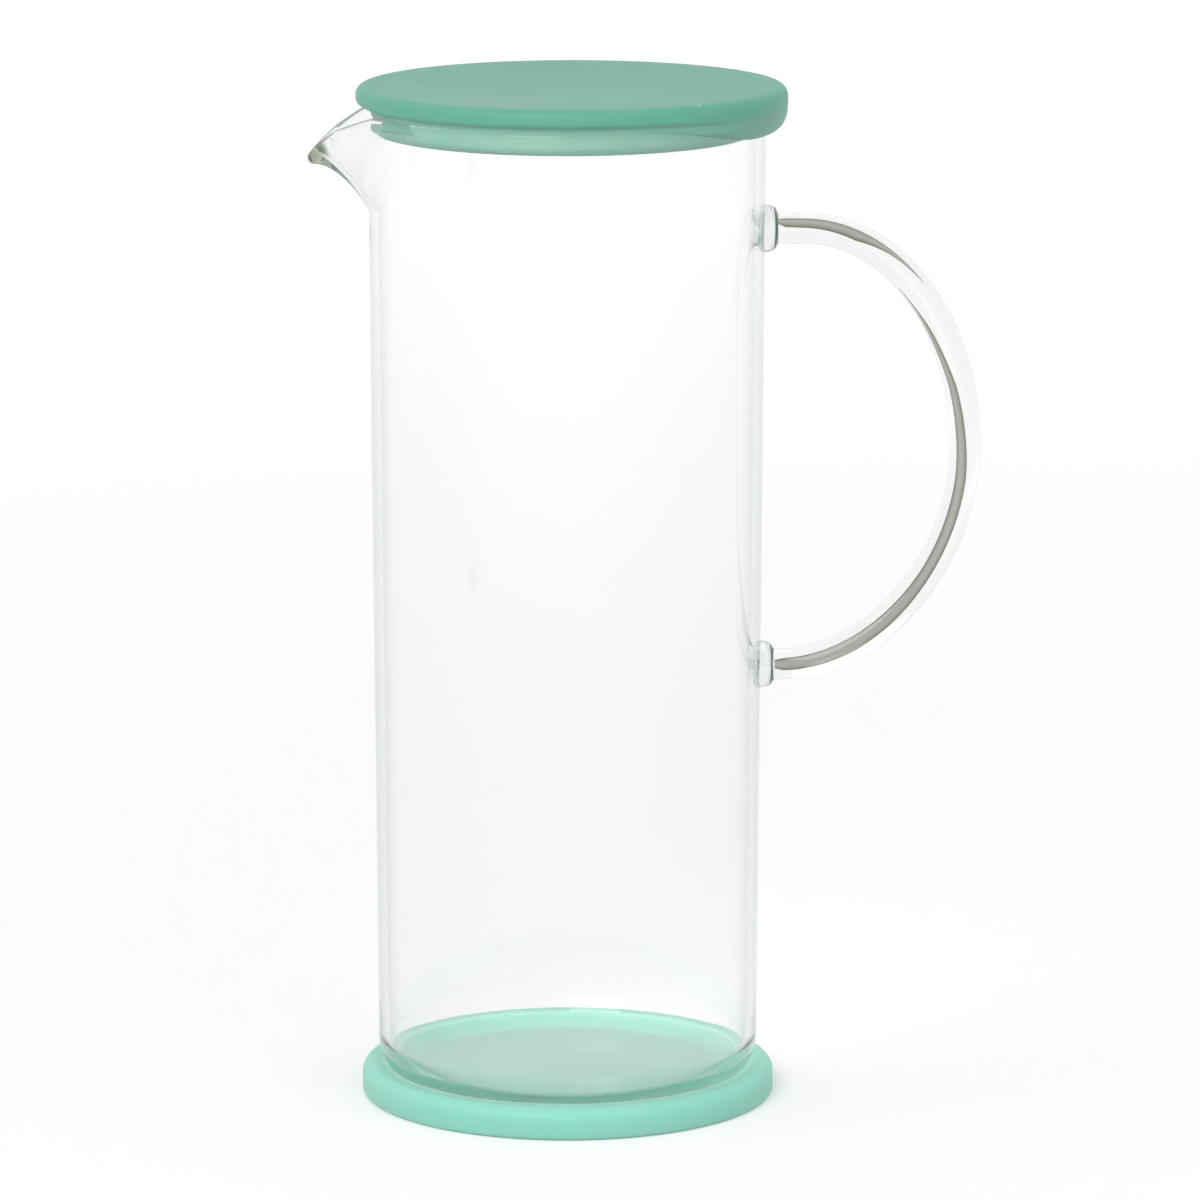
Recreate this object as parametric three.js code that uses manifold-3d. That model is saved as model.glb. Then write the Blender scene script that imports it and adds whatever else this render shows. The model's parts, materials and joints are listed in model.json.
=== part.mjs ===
// Infusion pitcher: a blown glass jug with a pulled spout and a welded rod handle, closed by a
// soft plug lid and standing in a soft base.
// Millimetres, +Z up. The origin is in the middle of the base's underside, on the jug's axis.
// The handle is at +X and the spout at -X.
import * as THREE from 'three';
import { mergeVertices } from 'three/addons/utils/BufferGeometryUtils.js';
import Module from 'manifold-3d';

// Clearances between pieces
const SEAT_GAP = 0.3;
const WELD_GAP = 0.3;
const PLUG_CLEARANCE = 0.35;
const LIP_CLEARANCE = 0.35;

// Glass cylinder
const GLASS_HEIGHT = 251.2;
const MOUTH_RADIUS = 50.15;
const FOOT_RADIUS = 48.5;
const FOOT_CORNER = 12;
const GLASS_WALL = 2.4;
const GLASS_FLOOR = 4;

// Pouring spout, drawn out of the wall below the rim
const SPOUT_REACH = 14.6;
const SPOUT_DROP = 11.2;
const SPOUT_DEPTH = 26;
const SPOUT_WIDTH = 26;
const SPOUT_ROOT_WIDTH = 14;
const SPOUT_CURL = 1.1;
const SPOUT_DROP_CURL = 1.9;
const SPOUT_EDGE_CURL = 1.3;
const SPOUT_BEAD = 1.8;
const SPOUT_BEAD_CURL = 8;

// Rod handle, bent in the XZ plane
const ROD_DIAMETER = 8;
const HANDLE_TOP = 220.8;
const HANDLE_BOTTOM = 108.8;
const HANDLE_APEX_DROP = 55.4;
const HANDLE_REACH = 51.3;
const HANDLE_STRAIGHT_TOP = 10;
const HANDLE_STRAIGHT_BOTTOM = 4.5;
const HANDLE_FULLNESS_TOP = 0.552;
const HANDLE_FULLNESS_BOTTOM = 0.525;
const COLLAR_RADIUS = 6;
const COLLAR_LAND = 0.9;
const COLLAR_LENGTH = 4.2;

// Lid
const LID_OVERHANG = 4.2;
const LID_OFFSET = 1.25;
const LID_THICKNESS = 5.7;
const LID_TOP_ROUND = 2.5;
const LID_BOTTOM_ROUND = 2.3;
const LID_DISH = 0.7;
const LID_WEB = 2.6;
const PLUG_DEPTH = 6.2;
const PLUG_TAPER = 1;
const PLUG_WALL = 3.8;
const PLUG_OUTER_ROUND = 3;
const PLUG_INNER_ROUND = 1.2;
const LIP_DROP = 5.2;
const LIP_WIDTH = 90;
const LIP_FLAT_WIDTH = 48;
const LIP_LEAD = 0.5;

// Base
const BASE_OVERHANG = 4.25;
const BASE_HEIGHT = 8.1;
const BASE_FLOOR = 2.3;
const BASE_TOP_ROUND = 3;
const BASE_BOTTOM_ROUND = 2;
const BASE_RIM_ROUND = 0.8;

// Facets
const GLASS_SEGMENTS = 84;
const LID_SEGMENTS = 72;
const BASE_SEGMENTS = 72;
const CUTTER_SEGMENTS = 120;
const ROD_SIDES = 16;
const ROD_STEPS = 52;
const COLLAR_SEGMENTS = 24;
const CORNER_STEPS = 6;
const EDGE_STEPS = 4;
const SPOUT_STEPS = 9;
const SPOUT_GATHER = 0.7;
const LIP_GATHER = 0.45;

// Levels and radii that the pieces share
const glassBottom = BASE_FLOOR + SEAT_GAP;
const footTop = glassBottom + FOOT_CORNER;
const rimTop = glassBottom + GLASS_HEIGHT;
const rimRound = GLASS_WALL / 2;
const rimCentre = rimTop - rimRound;
const spoutRoot = rimTop - SPOUT_DEPTH;
const lidUnderside = rimTop + SEAT_GAP;
const lidTop = lidUnderside + LID_THICKNESS;
const lidRadius = MOUTH_RADIUS + LID_OVERHANG;
const lipInside = MOUTH_RADIUS + LIP_CLEARANCE;
const baseRadius = FOOT_RADIUS + BASE_OVERHANG;

// The glass tapers evenly from its mouth to the top of its rounded foot.
function wallRadius(z) {
  return THREE.MathUtils.mapLinear(z, footTop, rimTop, FOOT_RADIUS, MOUTH_RADIUS);
}

// Points of an elliptical arc, angles in degrees from the outward direction
function arc(centreR, centreZ, halfR, halfZ, from, to, steps) {
  const points = [];
  for (let i = 0; i <= steps; i += 1) {
    const angle = THREE.MathUtils.degToRad(from + (to - from) * i / steps);
    points.push(new THREE.Vector2(centreR + halfR * Math.cos(angle), centreZ + halfZ * Math.sin(angle)));
  }
  return points;
}

// A quarter round of one edge, from the given angle on
function roundEdge(centreR, centreZ, radius, from) {
  return arc(centreR, centreZ, radius, radius, from, from + 90, EDGE_STEPS);
}

// One closed skin: shared vertices merged and the empty triangles on the axis left out
function closedSkin(geometry) {
  geometry.deleteAttribute('normal');
  geometry.deleteAttribute('uv');
  const merged = mergeVertices(geometry, 1e-4);
  const kept = [];
  for (let i = 0; i < merged.index.count; i += 3) {
    const [a, b, c] = [0, 1, 2].map((corner) => merged.index.getX(i + corner));
    if (a !== b && b !== c && c !== a) kept.push(a, b, c);
  }
  merged.setIndex(kept);
  return merged;
}

// Moves every vertex, given as its radius, its angle from the side that faces and its height.
// side is +1 where that side is +X and -1 where it is -X.
function reshape(geometry, side, move) {
  const position = geometry.attributes.position;
  for (let i = 0; i < position.count; i += 1) {
    const x = side * position.getX(i);
    const y = side * position.getY(i);
    const moved = move(Math.hypot(x, y), Math.atan2(y, x), position.getZ(i));
    const reach = side * moved.radius;
    position.setXYZ(i, reach * Math.cos(moved.angle), reach * Math.sin(moved.angle), moved.z);
  }
  return geometry;
}

// A profile turned about Z
function revolve(profile, segments) {
  return new THREE.LatheGeometry(profile, segments).rotateX(Math.PI / 2).rotateZ(Math.PI / 2);
}

// Facets gathered towards one side, where the fine shape is
function gathered(share) {
  return (radius, angle, z) => ({ radius, angle: angle - share * Math.sin(angle), z });
}

// Glass body: the foot, the tapering wall and the rounded rim in one closed profile
function glassProfile() {
  const insideCorner = FOOT_CORNER - GLASS_WALL;
  const insideFloor = glassBottom + GLASS_FLOOR;
  const cornerRadius = FOOT_RADIUS - FOOT_CORNER;
  const wallLevels = [];
  for (let i = 0; i <= SPOUT_STEPS; i += 1) {
    wallLevels.push(THREE.MathUtils.lerp(spoutRoot, rimCentre, i / SPOUT_STEPS));
  }
  const outside = wallLevels.slice(0, -1).map((z) => new THREE.Vector2(wallRadius(z), z));
  const inside = wallLevels.slice(0, -1).map((z) => new THREE.Vector2(wallRadius(z) - GLASS_WALL, z));
  const rimRadius = wallRadius(rimCentre) - rimRound;
  return [
    new THREE.Vector2(0, glassBottom),
    ...arc(cornerRadius, footTop, FOOT_CORNER, FOOT_CORNER, -90, 0, CORNER_STEPS),
    ...outside,
    ...arc(rimRadius, rimCentre, rimRound, rimRound, 0, 180, CORNER_STEPS),
    ...inside.reverse(),
    ...arc(cornerRadius, insideFloor + insideCorner, insideCorner, insideCorner, 0, -90, CORNER_STEPS),
    new THREE.Vector2(0, insideFloor),
  ];
}

// The spout is the hot wall drawn out and down. A point keeps its place across the wall's thickness
// while the wall's middle surface is pulled, most at the lip and not at all at the root and sides.
function pulledSpout(radius, angle, z) {
  const level = Math.min(z, rimCentre);
  const height = rimCentre - spoutRoot;
  const rise = Math.max(0, (level - spoutRoot) / height);
  const half = THREE.MathUtils.lerp(SPOUT_ROOT_WIDTH, SPOUT_WIDTH, rise) / 2;
  const off = Math.min(1, Math.abs(angle) * MOUTH_RADIUS / half);
  const spread = Math.cos(off * Math.PI / 2) ** 2;
  const out = SPOUT_REACH * spread;
  const drop = SPOUT_DROP * spread ** SPOUT_EDGE_CURL;
  const outSlope = out * SPOUT_CURL * rise ** (SPOUT_CURL - 1);
  const dropSlope = drop * SPOUT_DROP_CURL * rise ** (SPOUT_DROP_CURL - 1);
  const tilt = Math.atan2(outSlope, height - dropSlope);
  const middle = wallRadius(level) - GLASS_WALL / 2;
  const bead = 1 + (SPOUT_BEAD / rimRound - 1) * spread * rise ** SPOUT_BEAD_CURL;
  const across = (radius - middle) * bead;
  const along = (z - level) * bead;
  return {
    radius: middle + out * rise ** SPOUT_CURL + across * Math.cos(tilt) + along * Math.sin(tilt),
    angle,
    z: level - drop * rise ** SPOUT_DROP_CURL - across * Math.sin(tilt) + along * Math.cos(tilt),
  };
}

function glassBody() {
  const turned = revolve(glassProfile(), GLASS_SEGMENTS);
  reshape(turned, -1, gathered(SPOUT_GATHER));
  reshape(turned, -1, pulledSpout);
  return closedSkin(turned);
}

// Glass handle: the rod's centre line leaves the wall square, and swings round the hand
function handlePath() {
  const point = (x, z) => new THREE.Vector3(x, 0, z);
  const top = glassBottom + HANDLE_TOP;
  const bottom = glassBottom + HANDLE_BOTTOM;
  const apexZ = top - HANDLE_APEX_DROP;
  const apexX = wallRadius(apexZ) + HANDLE_REACH;
  const topStart = wallRadius(top) + HANDLE_STRAIGHT_TOP;
  const bottomEnd = wallRadius(bottom) + HANDLE_STRAIGHT_BOTTOM;
  const path = new THREE.CurvePath();
  path.add(new THREE.LineCurve3(point(wallRadius(top) - ROD_DIAMETER, top), point(topStart, top)));
  path.add(new THREE.CubicBezierCurve3(
    point(topStart, top),
    point(THREE.MathUtils.lerp(topStart, apexX, HANDLE_FULLNESS_TOP), top),
    point(apexX, THREE.MathUtils.lerp(apexZ, top, HANDLE_FULLNESS_TOP)),
    point(apexX, apexZ),
  ));
  path.add(new THREE.CubicBezierCurve3(
    point(apexX, apexZ),
    point(apexX, THREE.MathUtils.lerp(apexZ, bottom, HANDLE_FULLNESS_BOTTOM)),
    point(THREE.MathUtils.lerp(bottomEnd, apexX, HANDLE_FULLNESS_BOTTOM), bottom),
    point(bottomEnd, bottom),
  ));
  path.add(new THREE.LineCurve3(point(bottomEnd, bottom), point(wallRadius(bottom) - ROD_DIAMETER, bottom)));
  return path;
}

function handleRod() {
  const section = new THREE.Shape().absarc(0, 0, ROD_DIAMETER / 2, 0, 2 * Math.PI);
  return new THREE.ExtrudeGeometry(section, {
    extrudePath: handlePath(),
    steps: ROD_STEPS,
    curveSegments: ROD_SIDES / 2,
  });
}

// The collar of glass that wells up round the rod where it is fused to the wall
function weldCollar(height) {
  const z = glassBottom + height;
  const rod = ROD_DIAMETER / 2;
  const swell = COLLAR_RADIUS - rod;
  const flare = COLLAR_LENGTH - COLLAR_LAND;
  const profile = [
    new THREE.Vector2(0, -COLLAR_RADIUS / 2),
    new THREE.Vector2(COLLAR_RADIUS, -COLLAR_RADIUS / 2),
    ...arc(COLLAR_RADIUS, COLLAR_LENGTH, swell, flare, 270, 180, EDGE_STEPS),
    new THREE.Vector2(0, COLLAR_LENGTH),
  ];
  const collar = new THREE.LatheGeometry(profile, COLLAR_SEGMENTS).rotateZ(-Math.PI / 2);
  return collar.translate(wallRadius(z), 0, z);
}

// The glass wall grown by the weld's clearance, which shapes the rod's two ends
function wallCutter() {
  const profile = [
    new THREE.Vector2(0, footTop),
    new THREE.Vector2(wallRadius(footTop) + WELD_GAP, footTop),
    new THREE.Vector2(wallRadius(rimTop) + WELD_GAP, rimTop),
    new THREE.Vector2(0, rimTop),
  ];
  return revolve(profile, CUTTER_SEGMENTS);
}

const wasm = await Module();
wasm.setup();

function solidOf(geometry) {
  const skin = closedSkin(geometry);
  const vertProperties = Float32Array.from(skin.attributes.position.array);
  const triVerts = Uint32Array.from(skin.index.array);
  return new wasm.Manifold(new wasm.Mesh({ numProp: 3, vertProperties, triVerts }));
}

function geometryOf(solid) {
  const mesh = solid.getMesh();
  const geometry = new THREE.BufferGeometry();
  geometry.setAttribute('position', new THREE.BufferAttribute(Float32Array.from(mesh.vertProperties), 3));
  geometry.setIndex(Array.from(mesh.triVerts));
  return geometry;
}

function glassHandle() {
  const welded = solidOf(handleRod())
    .add(solidOf(weldCollar(HANDLE_TOP)))
    .add(solidOf(weldCollar(HANDLE_BOTTOM)));
  return geometryOf(welded.subtract(solidOf(wallCutter())));
}

// Lid: a hollow tapered plug under a rounded flange with a shallow dish on top
function lidProfile() {
  const plugTop = wallRadius(rimTop) - GLASS_WALL - PLUG_CLEARANCE;
  const plugFoot = plugTop - PLUG_TAPER;
  const plugBottom = rimTop - PLUG_DEPTH;
  const plugInside = plugFoot - PLUG_WALL;
  const webUnderside = lidTop - LID_DISH - LID_WEB;
  const innerRound = plugInside + PLUG_INNER_ROUND;
  const outerRound = plugFoot - PLUG_OUTER_ROUND;
  const edge = lidRadius - lipInside - LIP_LEAD;
  return [
    new THREE.Vector2(0, webUnderside),
    new THREE.Vector2(plugInside, webUnderside),
    ...roundEdge(innerRound, plugBottom + PLUG_INNER_ROUND, PLUG_INNER_ROUND, 180),
    ...roundEdge(outerRound, plugBottom + PLUG_OUTER_ROUND, PLUG_OUTER_ROUND, 270),
    new THREE.Vector2(plugTop, lidUnderside),
    new THREE.Vector2(lipInside, lidUnderside),
    ...arc(lidRadius - edge, lidUnderside + LID_BOTTOM_ROUND, edge, LID_BOTTOM_ROUND, -90, 0, EDGE_STEPS),
    ...roundEdge(lidRadius - LID_TOP_ROUND, lidTop - LID_TOP_ROUND, LID_TOP_ROUND, 0),
    new THREE.Vector2(plugTop, lidTop - LID_DISH / 2),
    new THREE.Vector2(plugInside, lidTop - LID_DISH),
    new THREE.Vector2(0, lidTop - LID_DISH),
  ];
}

// The flange's edge is set off towards the handle, where it hangs down as a wide lip for the thumb.
function thumbLip(radius, angle, z) {
  if (radius <= lipInside + LIP_LEAD / 2) return { radius, angle, z };
  const off = Math.abs(angle) * lidRadius;
  const weight = 1 - THREE.MathUtils.smoothstep(off, LIP_FLAT_WIDTH / 2, LIP_WIDTH / 2);
  const outward = (radius - lipInside) / (lidRadius - lipInside);
  const roundTop = lidUnderside + LID_BOTTOM_ROUND;
  const hang = Math.max(0, (roundTop - z) / LID_BOTTOM_ROUND);
  return {
    radius: radius + LID_OFFSET * Math.cos(angle) * outward,
    angle,
    z: z - LIP_DROP * weight * hang,
  };
}

function siliconeLid() {
  const turned = revolve(lidProfile(), LID_SEGMENTS);
  reshape(turned, 1, gathered(LIP_GATHER));
  reshape(turned, 1, thumbLip);
  return closedSkin(turned);
}

// Base: a shallow cup whose bowl follows the foot of the glass
function baseProfile() {
  const bowl = FOOT_CORNER + SEAT_GAP;
  const bowlRadius = FOOT_RADIUS - FOOT_CORNER;
  const bowlCentre = glassBottom + FOOT_CORNER;
  const rimInside = BASE_HEIGHT - BASE_RIM_ROUND;
  const bowlEnd = THREE.MathUtils.radToDeg(Math.asin((rimInside - bowlCentre) / bowl));
  const bowlEdge = bowlRadius + bowl * Math.cos(THREE.MathUtils.degToRad(bowlEnd));
  return [
    new THREE.Vector2(0, 0),
    ...roundEdge(baseRadius - BASE_BOTTOM_ROUND, BASE_BOTTOM_ROUND, BASE_BOTTOM_ROUND, -90),
    ...roundEdge(baseRadius - BASE_TOP_ROUND, BASE_HEIGHT - BASE_TOP_ROUND, BASE_TOP_ROUND, 0),
    new THREE.Vector2(bowlEdge + BASE_RIM_ROUND, BASE_HEIGHT),
    ...arc(bowlRadius, bowlCentre, bowl, bowl, bowlEnd, -90, CORNER_STEPS),
    new THREE.Vector2(0, BASE_FLOOR),
  ];
}

function baseCoaster() {
  return closedSkin(revolve(baseProfile(), BASE_SEGMENTS));
}

const clearGlass = new THREE.MeshStandardMaterial({
  color: 0xeef4f1,
  roughness: 0.04,
  metalness: 0,
  transparent: true,
  opacity: 0.3,
});
const lidSilicone = new THREE.MeshStandardMaterial({ color: 0x86c8b1, roughness: 0.55, metalness: 0 });
const baseSilicone = new THREE.MeshStandardMaterial({ color: 0x8bd6c4, roughness: 0.55, metalness: 0 });

function piece(name, geometry, material) {
  const mesh = new THREE.Mesh(geometry, material);
  mesh.name = name;
  return mesh;
}

const pitcher = new THREE.Group();
pitcher.add(piece('base_coaster', baseCoaster(), baseSilicone));

const jug = new THREE.Group();
jug.add(piece('glass_body', glassBody(), clearGlass));
jug.add(piece('glass_handle', glassHandle(), clearGlass));
pitcher.add(jug);
pitcher.add(piece('silicone_lid', siliconeLid(), lidSilicone));

export default pitcher;
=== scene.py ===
# %% [markdown]
# # A glass infusion pitcher with a soft lid and base
#
# The pitcher is four pieces: a blown glass cylinder with a pulled spout, a glass rod bent into a handle
# and welded on, a silicone lid that plugs the mouth, and a silicone cup that the glass stands in.
# The measured frame holds the sizes. This lesson dresses it: finer meshes in the same places, and
# materials that behave as clear glass and satin silicone do.

import json
import math

import bmesh
import bpy
import numpy as np
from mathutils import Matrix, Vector

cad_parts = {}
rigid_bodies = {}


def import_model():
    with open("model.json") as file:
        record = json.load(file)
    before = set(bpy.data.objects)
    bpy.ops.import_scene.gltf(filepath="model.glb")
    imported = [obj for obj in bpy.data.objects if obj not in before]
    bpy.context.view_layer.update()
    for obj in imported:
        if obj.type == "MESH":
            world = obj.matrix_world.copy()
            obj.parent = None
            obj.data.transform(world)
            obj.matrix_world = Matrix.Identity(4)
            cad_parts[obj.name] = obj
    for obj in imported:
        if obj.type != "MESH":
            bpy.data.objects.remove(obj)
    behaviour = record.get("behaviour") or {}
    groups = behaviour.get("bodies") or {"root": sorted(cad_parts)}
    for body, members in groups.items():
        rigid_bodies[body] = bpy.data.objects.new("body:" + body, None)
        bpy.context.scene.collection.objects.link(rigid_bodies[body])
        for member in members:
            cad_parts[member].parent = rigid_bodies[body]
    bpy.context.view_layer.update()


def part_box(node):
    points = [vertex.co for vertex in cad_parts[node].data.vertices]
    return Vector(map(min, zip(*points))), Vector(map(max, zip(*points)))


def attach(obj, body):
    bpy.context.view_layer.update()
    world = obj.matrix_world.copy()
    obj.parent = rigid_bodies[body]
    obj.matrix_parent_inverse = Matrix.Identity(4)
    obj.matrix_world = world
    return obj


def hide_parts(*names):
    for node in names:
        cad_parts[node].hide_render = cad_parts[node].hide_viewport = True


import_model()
MM = 0.001

# %% [markdown]
# ## The sizes that the pieces share
#
# Heights and radii are read from the boxes of the four solids, so that a change in the frame is followed
# here. Only what a box can't tell is written down: the wall and the floor of the glass, its rounded foot,
# and the hair's breadth by which the soft pieces are pressed in.

# %% Read the shared sizes
base_low, base_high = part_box("base_coaster")
glass_low, glass_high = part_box("glass_body")
handle_low, handle_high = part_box("glass_handle")
lid_low, lid_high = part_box("silicone_lid")

GLASS_WALL = 2.4 * MM
GLASS_FLOOR = 4.0 * MM
FOOT_TAPER = 1.65 * MM
FOOT_CORNER = 12.0 * MM
CONTACT = 0.05 * MM  # how far the glass presses into soft silicone
glass_bottom = glass_low.z
rim_top = glass_high.z
rim_centre = rim_top - GLASS_WALL / 2
mouth_radius = glass_high.x
foot_radius = mouth_radius - FOOT_TAPER
foot_top = glass_bottom + FOOT_CORNER
print(f"glass {2000 * mouth_radius:.1f} mm across the mouth, rim at {1000 * rim_top:.1f} mm")


def wall_radius(z):
    """The glass tapers evenly from its mouth to the top of its rounded foot."""
    return foot_radius + (mouth_radius - foot_radius) * (z - foot_top) / (rim_centre - foot_top)


# %% [markdown]
# ## Camera
#
# The photograph looks a little down on the lid, with a long lens from some way off, so the sides stay
# nearly upright. A long lens at nearly two metres gives the same ellipses on the lid and the base.

# %% Camera
CAMERA_DISTANCE = 1.82
CAMERA_HEIGHT = 0.480
AIM_HEIGHT = 0.128
AIM_SIDE = 8.3 * MM
LENS = 218.6
SENSOR_WIDTH = 36

camera_data = bpy.data.cameras.new("camera")
camera_data.sensor_width = SENSOR_WIDTH
camera_data.lens = LENS
camera = bpy.data.objects.new("camera", camera_data)
camera.location = (AIM_SIDE, -CAMERA_DISTANCE, CAMERA_HEIGHT)
look = Vector((AIM_SIDE, 0, AIM_HEIGHT)) - camera.location
camera.rotation_euler = look.to_track_quat("-Z", "Y").to_euler()
bpy.context.scene.collection.objects.link(camera)
bpy.context.scene.camera = camera
print(f"camera looks down {math.degrees(math.asin(-look.normalized().z)):.1f} degrees")

# %% [markdown]
# ## Floor and light
#
# Clear glass shows what stands around it, so the room is most of its look. A white floor and a white
# surround make the glass pale, and a grey side of the room gives its edges their thin dark lines.
# The floor is a pale diffuse sheet with a little glow for the rays that look at it, straight, in a
# reflection or through the glass, so it reads as white and still takes a soft shadow. The glow grows
# outward, because the lamps reach the far floor less.

# %% Helpers for node trees
def add_node(tree, kind, **values):
    """A node of that kind, with its properties and the values of its named inputs set."""
    node = tree.nodes.new(kind)
    for name, value in values.items():
        if name in node.inputs:
            node.inputs[name].default_value = value
        else:
            setattr(node, name, value)
    return node


def join(tree, *pairs):
    """Links each (output socket, input socket) pair."""
    for output, target in pairs:
        tree.links.new(output, target)


def feed(tree, slot, value):
    """Links a socket to a slot, or sets the slot to a plain value."""
    if isinstance(value, bpy.types.NodeSocket):
        tree.links.new(value, slot)
    else:
        slot.default_value = value


def math_node(tree, operation, first, second):
    """A Math node whose inputs are sockets or numbers."""
    node = add_node(tree, "ShaderNodeMath", operation=operation)
    feed(tree, node.inputs[0], first)
    feed(tree, node.inputs[1], second)
    return node.outputs[0]


def mix_colours(tree, factor, first, second):
    """A Mix node for colours whose inputs are sockets or values."""
    node = add_node(tree, "ShaderNodeMix", data_type="RGBA")
    for slot, value in (("Factor", factor), ("A", first), ("B", second)):
        feed(tree, node.inputs[slot], value)
    return node.outputs["Result"]


def ramp(tree, value, start, end, low=0.0, high=1.0, kind="SMOOTHSTEP"):
    """Goes from low to high while the value goes from start to end."""
    node = add_node(tree, "ShaderNodeMapRange", interpolation_type=kind)
    limits = (("From Min", start), ("From Max", end), ("To Min", low), ("To Max", high))
    for slot, given in (("Value", value),) + limits:
        feed(tree, node.inputs[slot], given)
    return node.outputs["Result"]


def seen_rays(tree):
    """1 for rays that look at a surface: straight, in a reflection or through glass."""
    path = add_node(tree, "ShaderNodeLightPath").outputs
    shiny = math_node(tree, "MAXIMUM", path["Is Glossy Ray"], path["Is Transmission Ray"])
    return math_node(tree, "MAXIMUM", path["Is Camera Ray"], shiny)


# %% Floor
FLOOR_SIZE = 30.0
FLOOR_GAP = 0.05 * MM
FLOOR_COLOUR = (0.80, 0.80, 0.80, 1)
WHITE = (1, 1, 1, 1)
GLOW_NEAR = 0.285
GLOW_FAR = 0.535
GLOW_REACH = 1.6

bpy.ops.mesh.primitive_plane_add(size=FLOOR_SIZE, location=(0, 0, base_low.z - FLOOR_GAP))
floor = bpy.context.object
floor.name = "studio_floor"
floor_material = bpy.data.materials.new("pale_floor")
floor_material.use_nodes = True
tree = floor_material.node_tree
tree.nodes.clear()
sheet = add_node(tree, "ShaderNodeBsdfDiffuse", Color=FLOOR_COLOUR)
glow = add_node(tree, "ShaderNodeEmission", Color=WHITE)
both = add_node(tree, "ShaderNodeAddShader")
surface = add_node(tree, "ShaderNodeOutputMaterial")
place = add_node(tree, "ShaderNodeTexCoord")
away = add_node(tree, "ShaderNodeVectorMath", operation="LENGTH")
spread = ramp(tree, away.outputs["Value"], 0.0, GLOW_REACH, GLOW_NEAR, GLOW_FAR, "LINEAR")
join(
    tree,
    (place.outputs["Object"], away.inputs[0]),
    (math_node(tree, "MULTIPLY", seen_rays(tree), spread), glow.inputs["Strength"]),
    (sheet.outputs[0], both.inputs[0]),
    (glow.outputs[0], both.inputs[1]),
    (both.outputs[0], surface.inputs["Surface"]),
)
floor.data.materials.append(floor_material)
print("floor:", FLOOR_SIZE, "m square")

# %% Room light
ROOM_LIGHT = 0.60
ROOM_DARK = 0.70
DARK_FROM = -0.25
DARK_TO = -0.75

world = bpy.data.worlds.new("studio")
bpy.context.scene.world = world
world.use_nodes = True
tree = world.node_tree
tree.nodes.clear()
way = add_node(tree, "ShaderNodeTexCoord")
split = add_node(tree, "ShaderNodeSeparateXYZ")
behind = ramp(tree, split.outputs["Y"], DARK_FROM, DARK_TO, 1.0, ROOM_DARK)
seen = add_node(tree, "ShaderNodeBackground", Color=WHITE)
light = add_node(tree, "ShaderNodeBackground", Color=WHITE, Strength=ROOM_LIGHT)
choose = add_node(tree, "ShaderNodeMixShader")
sky = add_node(tree, "ShaderNodeOutputWorld")
join(
    tree,
    (way.outputs["Generated"], split.inputs[0]),
    (behind, seen.inputs["Strength"]),
    (seen_rays(tree), choose.inputs["Fac"]),
    (light.outputs[0], choose.inputs[1]),
    (seen.outputs[0], choose.inputs[2]),
    (choose.outputs[0], sky.inputs["Surface"]),
)
bpy.context.scene.view_settings.view_transform = "Standard"
print("room light", ROOM_LIGHT)

# %% Lamps
# Name, place and size in metres, power in watts.
LAMPS = [("key_lamp", (-0.65, -1.7, 1.3), 1.2, 21), ("fill_lamp", (1.2, -1.2, 0.7), 1.0, 2)]


def soft_lamp(name, place, size, power, aim):
    """A large square lamp that faces the given point."""
    data = bpy.data.lights.new(name, "AREA")
    data.size = size
    data.energy = power
    lamp = bpy.data.objects.new(name, data)
    lamp.location = place
    lamp.rotation_euler = (Vector(aim) - lamp.location).to_track_quat("-Z", "Y").to_euler()
    bpy.context.scene.collection.objects.link(lamp)


for lamp in LAMPS:
    soft_lamp(*lamp, aim=(0, 0, rim_top / 2))
print("lamps:", [name for name, *_ in LAMPS])

# %% [markdown]
# ## Surface effects shared by the materials
#
# Silicone is never one flat colour: the pigment is a little cloudy, the skin has a fine grain from the
# mould, and it picks up lint. Handled glass and handled silicone both carry faint patches of touch.
# Each of these is a node group, built once and placed in every material that shows it.

# %% Group: moulded silicone skin
def new_group(name, inputs, outputs):
    """An empty shader group with named sockets, and its input and output nodes."""
    group = bpy.data.node_groups.new(name, "ShaderNodeTree")
    for label, kind, value in inputs:
        socket = group.interface.new_socket(label, in_out="INPUT", socket_type=kind)
        socket.default_value = value
    for label, kind in outputs:
        group.interface.new_socket(label, in_out="OUTPUT", socket_type=kind)
    return group, group.nodes.new("NodeGroupInput"), group.nodes.new("NodeGroupOutput")


COLOUR, NUMBER = "NodeSocketColor", "NodeSocketFloat"
CLOUD_SCALE = 38.0
GRAIN_SCALE = 2600.0
LINT_SCALE = 260.0
LINT_SIZE = 0.13
LINT_RARITY = 0.985
LINT_COLOUR = (0.66, 0.82, 0.76, 1)
UNEVENNESS = 0.16


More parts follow.
